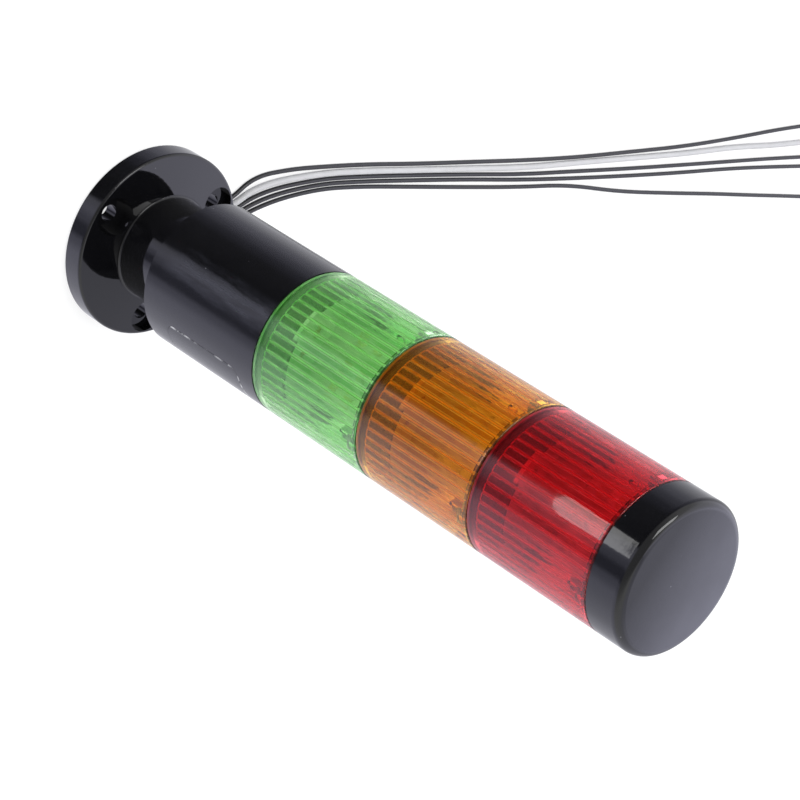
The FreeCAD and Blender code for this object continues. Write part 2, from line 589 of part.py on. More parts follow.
def lead(name, radius):
    """Round lead along straight runs joined by tangent arcs as large as the runs allow."""
    points = lead_points(name, radius)
    edges = []
    radii = []
    start = points[0]
    for before, corner, after in zip(points, points[1:], points[2:]):
        back = before - corner
        ahead = after - corner
        reach = BEND_SHARE * min(back.Length, ahead.Length)
        half_turn = (math.pi - back.getAngle(ahead)) / 2
        back.normalize()
        ahead.normalize()
        arc_radius = reach / math.tan(half_turn)
        radii.append(arc_radius)
        enter = corner + back * reach
        leave = corner + ahead * reach
        to_middle = back + ahead
        to_middle.normalize()
        middle = corner + to_middle * (arc_radius / math.cos(half_turn) - arc_radius)
        edges.append(Part.LineSegment(start, enter).toShape())
        edges.append(Part.Arc(enter, middle, leave).toShape())
        start = leave
    edges.append(Part.LineSegment(start, points[-1]).toShape())
    path = Part.Wire(edges)
    section = Part.Wire(Part.makeCircle(radius, points[0], points[1] - points[0]))
    tube = path.makePipeShell([section], True, True)
    ratio = tube.Volume / (math.pi * radius ** 2 * path.Length)
    print(f"{name}: length {path.Length:.1f}, volume ratio {ratio:.5f}, radii "
          + " ".join(f"{value:.0f}" for value in radii))
    return tube


# ---------------------------------------------------------------- write every node
def main():
    os.makedirs("parts", exist_ok=True)
    export("mounting_flange", mounting_flange())
    export("base_housing", base_housing())
    export("service_cover", service_cover())
    export("neck_gasket", neck_gasket())
    export("lock_nut", lock_nut())
    export("lead_grommet", lead_grommet())
    export("terminal_board", terminal_board())
    export("board_screws", board_screws())
    export("lead_connector", lead_connector())
    export("base_contact_head", base_contact_head())
    export("base_contact_pads", contact_pads(HOUSING_HIGH))

    lens = fluted_lens()
    foot = module_foot()
    board = lamp_board()
    lamp_set = lamps()
    head = contact_head()
    ring = seal_ring()
    for colour, seam in zip(("green", "amber", "red"), SEAM_Z):
        export(colour + "_lens", lifted(lens, seam))
        export(colour + "_foot", lifted(foot, seam))
        export(colour + "_lamp_board", lifted(board, seam))
        export(colour + "_lamps", lifted(lamp_set, seam))
        export(colour + "_contact_head", lifted(head, seam))
        export(colour + "_contact_pads", contact_pads(seam + MODULE_PITCH))
        export(colour + "_contact_pins", contact_pins(seam))
        export(colour + "_seal_ring", lifted(ring, seam))

    export("top_cap", lifted(top_cap(), SEAM_Z[3]))
    export("cap_seal_ring", lifted(ring, SEAM_Z[3]))
    for name in LEAD_OFFSETS:
        radius = GREY_LEAD_R if name == "lead_grey" else BLACK_LEAD_R
        export(name, lead(name, radius))


main()
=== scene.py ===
import bpy
import bmesh
import math
from mathutils import Matrix, Vector


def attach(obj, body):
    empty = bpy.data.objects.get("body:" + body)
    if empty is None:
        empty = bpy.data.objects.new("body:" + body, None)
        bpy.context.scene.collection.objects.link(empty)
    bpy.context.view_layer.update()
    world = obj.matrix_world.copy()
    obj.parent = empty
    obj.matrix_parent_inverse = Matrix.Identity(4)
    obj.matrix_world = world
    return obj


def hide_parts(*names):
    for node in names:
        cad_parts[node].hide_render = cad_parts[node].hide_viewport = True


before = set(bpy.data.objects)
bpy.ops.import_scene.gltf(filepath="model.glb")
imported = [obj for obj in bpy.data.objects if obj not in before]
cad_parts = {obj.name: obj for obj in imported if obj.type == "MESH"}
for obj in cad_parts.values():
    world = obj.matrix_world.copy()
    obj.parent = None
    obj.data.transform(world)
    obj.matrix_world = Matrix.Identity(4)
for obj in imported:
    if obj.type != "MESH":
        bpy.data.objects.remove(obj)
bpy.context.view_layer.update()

# Stack light: a flanged base housing, three twist-lock light modules, a cap and five loose leads.
# Metres throughout. +Z runs up the tower from the mounting face.

MM = 0.001
# Height of each module's lower seam.
SEAMS = {"green": 0.088, "amber": 0.137, "red": 0.186}
RIDGE_COUNT = 48


# ---------------------------------------------------------------- camera
def make_camera():
    data = bpy.data.cameras.new("camera")
    data.sensor_fit = "HORIZONTAL"
    data.sensor_width = 36.0
    data.lens = 126.69
    data.clip_start = 0.05
    data.clip_end = 20.0
    camera = bpy.data.objects.new("camera", data)
    right = Vector((-0.54121, 0.51827, 0.66218)).normalized()
    forward = Vector((0.0, 0.78748, -0.61634)).normalized()
    up = right.cross(forward).normalized()
    turn = Matrix((right, up, -forward)).transposed().to_4x4()
    camera.matrix_world = Matrix.Translation((-0.00008, -0.67773, 0.65946)) @ turn
    bpy.context.scene.collection.objects.link(camera)
    bpy.context.scene.camera = camera


make_camera()
bpy.context.scene.view_settings.view_transform = "Standard"

# ---------------------------------------------------------------- leads
NOTCH_HEADING = math.radians(128.5)
LEADS = {
    # name: (sideways place in the neck and notch, radius, length)
    "lead_a": (0.0043, 0.0008, 0.4127),
    "lead_grey": (0.0020, 0.0012, 0.4142),
    "lead_b": (-0.0003, 0.0008, 0.4174),
    "lead_c": (-0.00225, 0.0008, 0.4190),
    "lead_d": (-0.0042, 0.0008, 0.4282),
}
NECK_COURSE = [(0.0, 0.062), (0.0, 0.051), (-0.0008, 0.039), (0.0005, 0.026), (0.0036, 0.013)]
NOTCH_COURSE = [(0.0115, 0.0036), (0.0225, None), (0.035, None)]
FLOOR_COURSE = {
    "lead_a": [
        (-0.0372, 0.0286), (-0.0466, 0.0422), (-0.0536, 0.0547), (-0.0638, 0.0740), (-0.0751, 0.0973),
        (-0.0882, 0.1231), (-0.1015, 0.1495), (-0.1152, 0.1753), (-0.1305, 0.2020),
        (-0.1465, 0.2300), (-0.1640, 0.2575), (-0.1810, 0.2830), (-0.1930, 0.3030),
    ],
    "lead_grey": [
        (-0.0360, 0.0326), (-0.0517, 0.0559), (-0.0618, 0.0751), (-0.0731, 0.0982),
        (-0.0860, 0.1241), (-0.0990, 0.1505), (-0.1130, 0.1755), (-0.1285, 0.2035),
        (-0.1445, 0.2325), (-0.1602, 0.2586), (-0.1740, 0.2855), (-0.1880, 0.3090),
    ],
    "lead_b": [
        (-0.0347, 0.0359), (-0.0497, 0.0572), (-0.0597, 0.0761), (-0.0711, 0.0992),
        (-0.0837, 0.1251), (-0.0963, 0.1518), (-0.1095, 0.1770), (-0.1240, 0.2050),
        (-0.1400, 0.2350), (-0.1540, 0.2610), (-0.1685, 0.2880), (-0.1830, 0.3160),
    ],
    "lead_c": [
        (-0.0336, 0.0386), (-0.0481, 0.0582), (-0.0580, 0.0770), (-0.0693, 0.1000),
        (-0.0819, 0.1260), (-0.0942, 0.1526), (-0.1069, 0.1782), (-0.1213, 0.2065),
        (-0.1370, 0.2365), (-0.1512, 0.2625), (-0.1650, 0.2895), (-0.1800, 0.3200),
    ],
    "lead_d": [
        (-0.0326, 0.0412), (-0.0465, 0.0593), (-0.0563, 0.0779), (-0.0670, 0.1011),
        (-0.0791, 0.1273), (-0.0915, 0.1538), (-0.1045, 0.1794), (-0.1150, 0.2085),
        (-0.1280, 0.2380), (-0.1398, 0.2640), (-0.1505, 0.2885), (-0.1610, 0.3120),
        (-0.1710, 0.3350),
    ],
}


def lead_route(name):
    """Control points: down the neck, out through the notch, then over the floor."""
    aside, radius, _ = LEADS[name]
    heading = Vector((math.cos(NOTCH_HEADING), math.sin(NOTCH_HEADING), 0.0))
    side = Vector((-heading.y, heading.x, 0.0))
    route = []
    for along, height in NECK_COURSE + NOTCH_COURSE:
        place = heading * along + side * aside
        route.append(Vector((place.x, place.y, radius if height is None else height)))
    return route + [Vector((x, y, radius)) for x, y in FLOOR_COURSE[name]]


def make_lead(name):
    """Round wire along its route. The bevel is one metre, so each point's radius is the wire's own."""
    _, radius, length = LEADS[name]
    route = lead_route(name)
    data = bpy.data.curves.new(name + "_wire", "CURVE")
    data.dimensions = "3D"
    data.bevel_depth = 1.0
    data.bevel_resolution = 5
    data.resolution_u = 10
    data.use_fill_caps = True
    spline = data.splines.new("NURBS")
    spline.points.add(len(route) - 1)
    for point, place in zip(spline.points, route):
        point.co = (place.x, place.y, place.z, 1.0)
        point.radius = radius
    spline.order_u = 3
    spline.use_endpoint_u = True
    lead = bpy.data.objects.new(name + "_wire", data)
    bpy.context.scene.collection.objects.link(lead)
    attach(lead, "base")
    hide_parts(name)
    return lead


leads = {name: make_lead(name) for name in LEADS}


# ---------------------------------------------------------------- material helpers
class Nodes:
    """A material's node tree with short ways to add the nodes used here."""

    def __init__(self, name):
        self.material = bpy.data.materials.new(name)
        self.material.use_nodes = True
        self.tree = self.material.node_tree
        self.shader = self.tree.nodes["Principled BSDF"]
        self.place = self.add("ShaderNodeTexCoord").outputs["Object"]

    def add(self, kind, **settings):
        node = self.tree.nodes.new(kind)
        for key, value in settings.items():
            setattr(node, key, value)
        return node

    def link(self, source, target):
        self.tree.links.new(source, target)

    def stretched(self, scale):
        node = self.add("ShaderNodeMapping")
        node.inputs["Scale"].default_value = scale
        self.link(self.place, node.inputs["Vector"])
        return node.outputs["Vector"]

    def noise(self, scale, detail=4.0, rough=0.55, vector=None):
        node = self.add("ShaderNodeTexNoise")
        node.inputs["Scale"].default_value = scale
        node.inputs["Detail"].default_value = detail
        node.inputs["Roughness"].default_value = rough
        self.link(vector or self.place, node.inputs["Vector"])
        return node.outputs["Fac"]

    def spots(self, scale):
        node = self.add("ShaderNodeTexVoronoi")
        node.inputs["Scale"].default_value = scale
        self.link(self.place, node.inputs["Vector"])
        return node.outputs["Distance"]

    def span(self, value, low, high, to_low, to_high):
        node = self.add("ShaderNodeMapRange")
        node.inputs["From Min"].default_value = low
        node.inputs["From Max"].default_value = high
        node.inputs["To Min"].default_value = to_low
        node.inputs["To Max"].default_value = to_high
        self.link(value, node.inputs["Value"])
        return node.outputs["Result"]

    def math(self, operation, first, second=0.0):
        node = self.add("ShaderNodeMath", operation=operation)
        for socket, value in zip(node.inputs, (first, second)):
            if isinstance(value, (int, float)):
                socket.default_value = value
            else:
                self.link(value, socket)
        return node.outputs["Value"]

    def part(self, vector, axis):
        """One coordinate of a vector."""
        node = self.add("ShaderNodeSeparateXYZ")
        self.link(vector, node.inputs["Vector"])
        return node.outputs[axis]

    def height(self):
        """Height above the mounting face."""
        return self.part(self.place, "Z")

    def heading(self):
        """Direction round the tower's axis in degrees, from +X."""
        turn = self.math("ARCTAN2", self.part(self.place, "Y"), self.part(self.place, "X"))
        return self.math("MULTIPLY", turn, 180.0 / math.pi)

    def blend(self, factor, first, second):
        node = self.add("ShaderNodeMix", data_type="RGBA")
        self.link(factor, node.inputs["Factor"])
        for socket, colour in zip((node.inputs[6], node.inputs[7]), (first, second)):
            if isinstance(colour, tuple):
                socket.default_value = (*colour, 1.0)
            else:
                self.link(colour, socket)
        return node.outputs[2]

    def bump(self, height, strength, distance):
        node = self.add("ShaderNodeBump")
        node.inputs["Strength"].default_value = strength
        node.inputs["Distance"].default_value = distance
        self.link(height, node.inputs["Height"])
        self.link(node.outputs["Normal"], self.shader.inputs["Normal"])

    def set(self, **values):
        for key, value in values.items():
            socket = self.shader.inputs[key.replace("_", " ")]
            if isinstance(value, (int, float)):
                socket.default_value = value
            elif isinstance(value, tuple):
                socket.default_value = (*value, 1.0)
            else:
                self.link(value, socket)

    def veil(self, share, colour):
        """Lay a plain scattering colour over the shader, as a share of the whole."""
        scatter = self.add("ShaderNodeBsdfDiffuse")
        scatter.inputs["Color"].default_value = (*colour, 1.0)
        both = self.add("ShaderNodeMixShader")
        both.inputs["Fac"].default_value = share
        self.link(self.shader.outputs["BSDF"], both.inputs[1])
        self.link(scatter.outputs["BSDF"], both.inputs[2])
        self.link(both.outputs["Shader"], self.tree.nodes["Material Output"].inputs["Surface"])


def gloss_black(name, rough, grain=0.06):
    """Moulded gloss plastic: nearly black, hazy from handling, with fine scuffs and a few specks of dust."""
    n = Nodes(name)
    haze = n.noise(45.0, 5.0)
    scuffs = n.noise(1.0, 6.0, 0.7, n.stretched((900.0, 900.0, 90.0)))
    worn = n.math("MULTIPLY", n.span(scuffs, 0.56, 0.78, 0.0, 1.0), n.span(haze, 0.45, 0.65, 0.2, 1.0))
    dust = n.span(n.spots(420.0), 0.03, 0.09, 1.0, 0.0)
    few = n.math("MULTIPLY", dust, n.span(n.noise(160.0, 2.0), 0.62, 0.66, 0.0, 1.0))
    base = n.blend(haze, (0.0022, 0.0022, 0.0026), (0.0042, 0.0042, 0.0052))
    n.base = n.blend(few, base, (0.22, 0.22, 0.24))
    n.rough = n.math("ADD", n.span(haze, 0.3, 0.7, rough, rough * 1.6), n.math("MULTIPLY", worn, 0.12))
    n.set(Base_Color=n.base, Roughness=n.rough)
    fine = n.math("MULTIPLY", n.noise(3800.0, 2.0), grain)
    n.bump(n.math("ADD", n.noise(260.0, 2.0), fine), 0.05, 0.0003)
    return n


def housing_black():
    """The housing is worn dull in one soft-edged streak along the tower, and is painted lighter and bluer
    there as a painted sheen.
    """
    n = gloss_black("housing_black_plastic", 0.09)
    streak_heading = -87.0
    across = n.math("ABSOLUTE", n.math("ADD", n.heading(), -streak_heading))
    ragged = n.math("ADD", across, n.math("MULTIPLY", n.noise(150.0, 4.0), 9.0))
    near = n.span(ragged, 5.0, 19.0, 1.0, 0.0)
    lines = n.noise(1.0, 4.0, 0.6, n.stretched((500.0, 500.0, 70.0)))
    above = n.span(n.height(), 0.037, 0.046, 0.0, 1.0)
    worn_and_painted_sheen = n.math("MULTIPLY", n.math("MULTIPLY", near, n.span(lines, 0.40, 0.66, 0.05, 1.0)), above)
    # Painted sheen: within the streak the colour is blended to a light bluish grey. The added roughness is
    # wear.
    n.set(Base_Color=n.blend(worn_and_painted_sheen, n.base, (0.030, 0.031, 0.042)))
    n.set(Roughness=n.math("ADD", n.rough, n.math("MULTIPLY", worn_and_painted_sheen, 0.30)))
    return n.material


def cover_black():
    """The access cover's side and upper edges are painted pale in patches, a painted highlight along its
    seam, and are rougher there.
    """
    n = gloss_black("cover_black_plastic", 0.09)
    side_band = (36.3, 37.9)
    top_band = (0.0796, 0.0800)
    sides = n.span(n.math("ABSOLUTE", n.heading()), *side_band, 0.0, 1.0)
    top = n.span(n.height(), *top_band, 0.0, 1.0)
    edge = n.math("MAXIMUM", sides, top)
    patches = n.math("MAXIMUM", n.span(n.noise(150.0, 5.0, 0.7), 0.42, 0.56, -0.15, 1.0))
    # Painted highlight: the side and upper edges are blended to pale grey in patches.
    n.set(Base_Color=n.blend(n.math("MULTIPLY", edge, patches), n.base, (0.5, 0.5, 0.52)))
    n.set(Roughness=n.math("ADD", n.rough, n.math("MULTIPLY", edge, 0.3)))
    return n.material


def cap_black():
    """A painted reflection: the cap's flat end is blended towards a bluish grey, more strongly towards +Y.
    """
    n = gloss_black("cap_black_plastic", 0.05)
    upward = n.span(n.part(n.add("ShaderNodeTexCoord").outputs["Normal"], "Z"), 0.93, 0.99, 0.0, 1.0)
    back = n.span(n.part(n.place, "Y"), -0.016, 0.027, 0.0, 1.0)
    cloudy = n.span(n.noise(60.0, 3.0), 0.3, 0.7, 0.8, 1.0)
    haze = n.math("MULTIPLY", upward, n.math("MULTIPLY", back, cloudy))
    # Painted reflection: upward faces are lightened towards a bluish grey, more towards +Y, in soft clouds.
    n.set(Base_Color=n.blend(haze, n.base, (0.10, 0.10, 0.125)))
    return n.material


def matte_black(name):
    """Satin black plastic with a fine moulded grain."""
    n = Nodes(name)
    grain = n.noise(2600.0, 3.0)
    n.base = n.blend(n.noise(70.0), (0.009, 0.009, 0.01), (0.016, 0.016, 0.018))
    n.set(Base_Color=n.base, Roughness=n.span(grain, 0.3, 0.7, 0.34, 0.5))
    n.bump(grain, 0.25, 0.00008)
    return n


def foot_black(name, seam):
    """Satin black, with a painted highlight: a thin pale band along part of the foot's upper rim."""
    n = matte_black(name)
    rim_highlight_heading = -99.0
    rim_band = (seam + 0.0112, seam + 0.0114)
    high = n.span(n.height(), *rim_band, 0.0, 1.0)
    across = n.math("ABSOLUTE", n.math("ADD", n.heading(), -rim_highlight_heading))
    rim_highlight = n.math("MULTIPLY", high, n.span(across, 13.0, 15.0, 1.0, 0.0))
    # Painted highlight: a thin band at the rim is blended to pale grey.
    n.set(Base_Color=n.blend(rim_highlight, n.base, (0.85, 0.85, 0.85)))
    return n.material


def clear_plastic(name, tint, deep, bulk, share):
    """Coloured clear plastic. The colour deepens a little in streaks along the flow of the moulding."""
    n = Nodes(name)
    flow = n.noise(1.0, 3.0, 0.5, n.stretched((160.0, 160.0, 25.0)))
    n.set(Base_Color=n.blend(n.span(flow, 0.35, 0.65, 0.0, 1.0), tint, deep))
    n.set(Roughness=n.span(n.noise(220.0, 4.0), 0.3, 0.7, 0.02, 0.05))
    n.set(Transmission_Weight=1.0, IOR=1.49)
    n.bump(n.noise(150.0, 2.0), 0.04, 0.0003)
    n.veil(share, bulk)
    return n.material


def flute_plastic(name, tint, deep, bulk, share):
    """The same plastic in the flutes: deeper in colour along their middles, streaky from the mould."""
    n = Nodes(name)
    wave = n.math("COSINE", n.math("MULTIPLY", n.heading(), math.radians(RIDGE_COUNT)))
    middles = n.span(wave, -0.25, 0.15, 1.0, 0.0)
    uneven = n.span(n.noise(1.0, 3.0, 0.6, n.stretched((110.0, 110.0, 26.0))), 0.36, 0.54, 0.0, 1.0)
    streaks = n.span(n.noise(1.0, 3.0, 0.6, n.stretched((420.0, 420.0, 48.0))), 0.50, 0.66, 0.0, 0.8)
    n.set(Base_Color=n.blend(n.math("MAXIMUM", n.math("MULTIPLY", middles, uneven), streaks), tint, deep))
    polish = n.noise(1.0, 3.0, 0.5, n.stretched((300.0, 300.0, 60.0)))
    n.set(Roughness=n.span(polish, 0.35, 0.65, 0.04, 0.16))
    n.set(Transmission_Weight=1.0, IOR=1.49)
    n.bump(n.noise(1.0, 3.0, 0.5, n.stretched((320.0, 320.0, 70.0))), 0.35, 0.0012)
    n.veil(share, bulk)
    return n.material


def ridge_plastic(name, tint, bulk):
    """The same plastic on the ridges inside a lens, frosted by the tool, so that they catch light."""
    n = Nodes(name)
    n.set(Base_Color=tint, Roughness=n.span(n.noise(900.0, 3.0), 0.3, 0.7, 0.3, 0.45))
    n.set(Transmission_Weight=1.0, IOR=1.49)
    n.veil(0.35, bulk)
    return n.material


def circuit_board():
    """White solder mask with faint copper runs showing through."""
    n = Nodes("circuit_board_mask")
    runs = n.add("ShaderNodeTexBrick")
    runs.inputs["Scale"].default_value = 260.0
    runs.inputs["Mortar Size"].default_value = 0.04
    n.link(n.place, runs.inputs["Vector"])
    mask = n.blend(n.noise(90.0), (0.92, 0.93, 0.90), (0.96, 0.96, 0.95))
    n.set(Base_Color=n.blend(runs.outputs["Fac"], mask, (0.78, 0.80, 0.74)))
    n.set(Roughness=n.span(n.noise(400.0), 0.3, 0.7, 0.3, 0.45))
    n.bump(runs.outputs["Fac"], 0.3, 0.00005)
    return n.material


def lamp_plastic():
    """Cream lamp bodies, mottled by the phosphor."""
    n = Nodes("lamp_body")
    mottle = n.span(n.noise(500.0), 0.4, 0.6, 0.0, 1.0)
    n.set(Base_Color=n.blend(mottle, (0.8, 0.78, 0.62), (0.86, 0.82, 0.5)))
    n.set(Roughness=n.span(n.noise(900.0), 0.3, 0.7, 0.2, 0.35))
    return n.material


def metal(name, first, second, rough):
    n = Nodes(name)
    brushed = n.noise(1.0, 4.0, 0.6, n.stretched((2500.0, 2500.0, 300.0)))
    n.set(Base_Color=n.blend(n.noise(500.0), first, second), Metallic=1.0)
    n.set(Roughness=n.span(brushed, 0.3, 0.7, rough * 0.7, rough * 1.3))
    n.bump(brushed, 0.1, 0.00003)
    return n.material


def rubber():
    n = Nodes("rubber")
    grain = n.noise(1800.0, 4.0)
    n.set(Base_Color=n.blend(n.noise(120.0), (0.012, 0.012, 0.012), (0.022, 0.021, 0.02)))
    n.set(Roughness=n.span(grain, 0.3, 0.7, 0.55, 0.75))
    n.bump(grain, 0.3, 0.0001)
    return n.material


def white_plastic():
    n = Nodes("white_plastic")
    n.set(Base_Color=n.blend(n.noise(150.0), (0.7, 0.69, 0.64), (0.77, 0.76, 0.72)))
    n.set(Roughness=n.span(n.noise(900.0), 0.3, 0.7, 0.38, 0.5))
    n.bump(n.noise(2500.0), 0.15, 0.00005)
    return n.material


def insulation(name, first, second, rough):
    """Extruded lead insulation, slightly uneven along its length."""
    n = Nodes(name)
    n.set(Base_Color=n.blend(n.noise(260.0, 4.0), first, second))
    n.set(Roughness=n.span(n.noise(700.0), 0.3, 0.7, rough * 0.8, rough * 1.2))
    n.bump(n.noise(900.0, 3.0), 0.2, 0.00015)
    return n.material


# Each lens plastic has its tint, the tint of its streaks, the colour that it scatters and the share of that.
# The ridges have a tint and a scattered colour only.
# The shade plastics are dark tints laid on as painted shade: at each lens's upper edge and top end, and at
# the lowest band in amber and red.
LENS_TINTS = {
    "green": {
        "clear": ((0.74, 1.00, 0.64), (0.67, 1.00, 0.56), (0.14, 0.92, 0.10), 0.05),
        "flutes": ((0.86, 1.00, 0.74), (0.16, 0.58, 0.13), (0.30, 1.00, 0.20), 0.08),
        "shade": ((0.05, 0.20, 0.05), (0.03, 0.12, 0.03), (0.02, 0.10, 0.02), 0.03),
        "ridges": ((0.60, 0.98, 0.50), (0.45, 0.98, 0.30)),
    },
    "amber": {
        "clear": ((1.00, 0.60, 0.06), (1.00, 0.53, 0.04), (1.00, 0.26, 0.01), 0.03),
        "flutes": ((1.00, 0.72, 0.07), (0.52, 0.13, 0.00), (1.00, 0.26, 0.01), 0.04),
        "shade": ((0.16, 0.05, 0.01), (0.10, 0.03, 0.01), (0.08, 0.02, 0.01), 0.03),
        "ridges": ((0.98, 0.47, 0.05), (1.00, 0.40, 0.03)),
    },
    "red": {
        "clear": ((0.95, 0.09, 0.11), (0.90, 0.06, 0.08), (0.90, 0.01, 0.02), 0.03),
        "flutes": ((0.98, 0.09, 0.10), (0.26, 0.01, 0.01), (0.90, 0.01, 0.02), 0.04),
        "shade": ((0.12, 0.01, 0.01), (0.08, 0.01, 0.01), (0.06, 0.00, 0.01), 0.03),
        "ridges": ((0.90, 0.08, 0.09), (0.95, 0.03, 0.04)),
    },
}


def make_materials():
    made = {
        "flange_black": gloss_black("flange_black_plastic", 0.03, 0.0).material,
        "housing_black": housing_black(),
        "cover_black": cover_black(),
        "cap_black": cap_black(),
        "matte_black": matte_black("matte_black_plastic").material,
        "circuit_board": circuit_board(),
        "lamp": lamp_plastic(),
        "brass": metal("brass", (0.72, 0.5, 0.2), (0.82, 0.6, 0.28), 0.25),
        "steel": metal("steel", (0.5, 0.5, 0.5), (0.62, 0.62, 0.6), 0.3),
        "rubber": rubber(),
        "white_plastic": white_plastic(),
        "black_wire": insulation("black_insulation", (0.006, 0.006, 0.007), (0.014, 0.014, 0.016), 0.32),
        "grey_wire": insulation("grey_insulation", (0.42, 0.42, 0.43), (0.52, 0.52, 0.53), 0.38),
    }
    for colour, tints in LENS_TINTS.items():
        made[colour + "_clear"] = clear_plastic(colour + "_lens_plastic", *tints["clear"])
        made[colour + "_flutes"] = flute_plastic(colour + "_flute_plastic", *tints["flutes"])
        made[colour + "_shade"] = clear_plastic(colour + "_shaded_plastic", *tints["shade"])
        made[colour + "_ridges"] = ridge_plastic(colour + "_ridge_plastic", *tints["ridges"])
        made[colour + "_foot_black"] = foot_black(colour + "_foot_plastic", SEAMS[colour])
    return made


materials = make_materials()


def dress(thing, slot):
    thing.data.materials.clear()
    thing.data.materials.append(materials[slot])
    for face in getattr(thing.data, "polygons", ()):
        face.material_index = 0


NODE_SLOTS = {
    "mounting_flange": "flange_black", "base_housing": "housing_black", "service_cover": "cover_black",
    "top_cap": "cap_black", "neck_gasket": "rubber", "lock_nut": "matte_black", "lead_grommet": "rubber",
    "terminal_board": "circuit_board", "board_screws": "steel", "lead_connector": "white_plastic",
    "base_contact_head": "matte_black", "base_contact_pads": "brass", "cap_seal_ring": "rubber",
}
for colour in SEAMS:
    NODE_SLOTS[colour + "_lens"] = colour + "_clear"
    NODE_SLOTS[colour + "_foot"] = colour + "_foot_black"
    NODE_SLOTS[colour + "_lamp_board"] = "circuit_board"
    NODE_SLOTS[colour + "_lamps"] = "lamp"
    NODE_SLOTS[colour + "_contact_head"] = "matte_black"
    NODE_SLOTS[colour + "_contact_pads"] = "brass"
    NODE_SLOTS[colour + "_contact_pins"] = "brass"
    NODE_SLOTS[colour + "_seal_ring"] = "rubber"
for name, slot in NODE_SLOTS.items():
    dress(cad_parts[name], slot)
for name, lead in leads.items():
    lead.data.materials.append(materials["grey_wire" if name == "lead_grey" else "black_wire"])

# ---------------------------------------------------------------- lenses
# Radii and heights in millimetres, heights from the module's lower seam. Angles in degrees.
RIDGE_R = 0.5
RIDGE_STEPS = 12
FLUTE_LOW = 3.4
FLUTE_TOP = 46.6
FLUTED_R = 23.2
BORE_R = 22.6
LEDGE_R = 20.8
LEDGE_HEIGHTS = (46.2, 44.0)
STOP_LOW = 41.0
LENS_LOW = 0.15
LENS_TOP = 48.85
LUG_ANGLE = -38.0
TWIST = 20.0
LUG_HALF = 4.2
LEDGE_OVERRUN = 3.0
STOP_SWEEP = 2.2
STOP_MARGIN = 0.9
SMOOTH_ANGLE = 40.0
RIDGE_PITCH = 360.0 / RIDGE_COUNT
RIDGE_HALF_ANGLE = math.degrees(math.asin(RIDGE_R / FLUTED_R))
SIDE_STEP = 0.01
# Radius and height of each outer ring. The rings beside the eased edges keep the long wall's shading flat.
OUTER_PROFILE = [
    (24.58, LENS_LOW), (24.74, 0.19), (24.88, 0.29), (24.97, 0.43), (25.0, 0.6), (25.0, 1.1),
    (25.0, 47.9), (25.0, 48.4), (24.97, 48.57), (24.88, 48.71), (24.74, 48.81), (24.58, LENS_TOP),
]
UPPER_EDGE_ROWS = range(7, 11)
# Material numbers of a lens, in the order in which its materials are added.
LENS_FINISHES = ("clear", "ridges", "flutes", "shade")
CLEAR, RIDGES, FLUTES, SHADE = range(4)


def coupling_sectors():
    """Angles of the ledges and of the stops below them, in degrees."""
    ledges = []
    stops = []
    for k in range(3):
        locked = LUG_ANGLE + 120.0 * k
        shut = locked - LUG_HALF - STOP_MARGIN - STOP_SWEEP
        opened = locked + TWIST + LUG_HALF + STOP_MARGIN
        ledges.append((shut, locked + LUG_HALF + LEDGE_OVERRUN))
        stops.append((shut, shut + STOP_SWEEP))
        stops.append((opened, opened + STOP_SWEEP))
    return ledges, stops


def lens_stations():
    """Angles at which the lens is divided, each with the side of a sector's end that it stands for."""
    stations = set()
    for k in range(RIDGE_COUNT):
        for step in range(RIDGE_STEPS + 1):
            aside = RIDGE_HALF_ANGLE * math.cos(math.pi * step / RIDGE_STEPS)
            stations.add((round((RIDGE_PITCH * k - aside) % 360.0, 6), 0))
        stations.add((round(RIDGE_PITCH * (k + 0.5), 6), 0))
    for group in coupling_sectors():
        for ends in group:
            for end in ends:
                stations.add((round(end % 360.0, 6), -1))
                stations.add((round(end % 360.0, 6), 1))
    return sorted(stations)


def in_sectors(angle, side, sectors):
    """Whether a point just to the given side of an angle lies within one of the sectors."""
    probe = angle + side * SIDE_STEP
    return any((probe - low) % 360.0 < high - low for low, high in sectors)


def ridge_columns(stations):
    """Places in the list of stations where the wall up to the next station belongs to a ridge."""
    columns = []
    for k, (angle, _) in enumerate(stations):
        following = stations[(k + 1) % len(stations)][0]
        middle = angle + (following - angle) % 360.0 / 2
        if abs((middle + RIDGE_PITCH / 2) % RIDGE_PITCH - RIDGE_PITCH / 2) < RIDGE_HALF_ANGLE:
            columns.append(k)
    return columns


def inner_radius(kind, angle, side):
    """Inside of the lens at one angle: plain ends, half-round ridges between flutes, ledges and stops."""
    if kind == "plain":
        return BORE_R
    ledges, stops = coupling_sectors()
    if kind == "ledge" and in_sectors(angle, side, ledges):
        return LEDGE_R
    if kind == "stop" and in_sectors(angle, side, stops):
        return LEDGE_R
    offset = math.radians((angle + RIDGE_PITCH / 2) % RIDGE_PITCH - RIDGE_PITCH / 2)
    reach = RIDGE_R ** 2 - (FLUTED_R * math.sin(offset)) ** 2
    if reach > 1e-9:
        return FLUTED_R * math.cos(offset) - math.sqrt(reach)
    return FLUTED_R


